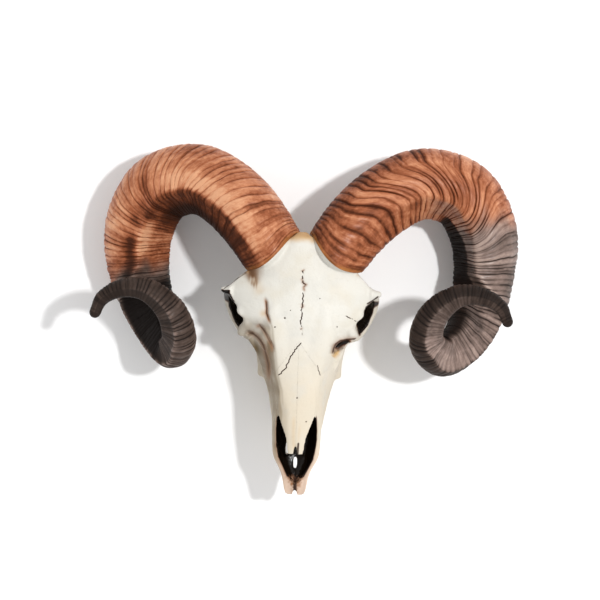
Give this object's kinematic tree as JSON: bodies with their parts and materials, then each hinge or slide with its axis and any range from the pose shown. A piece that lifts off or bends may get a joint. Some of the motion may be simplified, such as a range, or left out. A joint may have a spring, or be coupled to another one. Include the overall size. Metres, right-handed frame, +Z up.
{
  "type": "ram skull",
  "caption": "Life-size ram skull with curled, ridged horns, resting face up on its horns and cheek teeth; upper skull only.",
  "frame": {"origin": "middle of the floor under the whole model, at the level of the lowest points of the horns and rear cheek teeth", "axes": "+X to the skull's own left, +Y from the muzzle to the crown, +Z up out of the forehead, towards the camera of the picture"},
  "size_m": [0.3884, 0.3203, 0.1173],
  "materials": {
    "skull_bone": "dry, satin, cream-white bone with brown stains",
    "muzzle_bone": "smooth, slightly pink bone",
    "horn_sheath": "ribbed keratin, satin, copper-brown turning dark grey towards the tips"
  },
  "bodies": {
    "root": {"cranium": "skull_bone", "maxilla_left": "skull_bone", "maxilla_right": "skull_bone", "premaxilla_left": "muzzle_bone", "premaxilla_right": "muzzle_bone", "nasal_left": "skull_bone", "nasal_right": "skull_bone", "horn_left": "horn_sheath", "horn_right": "horn_sheath"}
  },
  "joints": []
}
